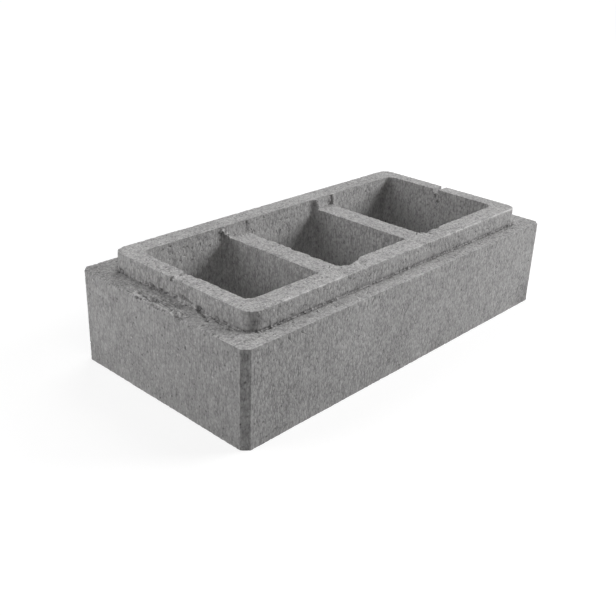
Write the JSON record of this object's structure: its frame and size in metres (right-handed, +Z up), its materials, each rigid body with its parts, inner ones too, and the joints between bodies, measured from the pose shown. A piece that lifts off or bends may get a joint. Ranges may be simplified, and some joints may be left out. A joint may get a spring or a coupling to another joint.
{
  "type": "hollow concrete block",
  "caption": "Hollow concrete wall block with through cells in a row, lowered webs, a raised rim round the cells on top and a matching socket underneath.",
  "frame": {"origin": "middle of the underside, on the floor it stands on", "axes": "+X along the block's length, +Y across its width, +Z up through the raised rim"},
  "size_m": [0.5, 0.25, 0.125],
  "materials": {
    "concrete": "rough"
  },
  "bodies": {
    "root": {"block": "concrete"}
  },
  "joints": []
}
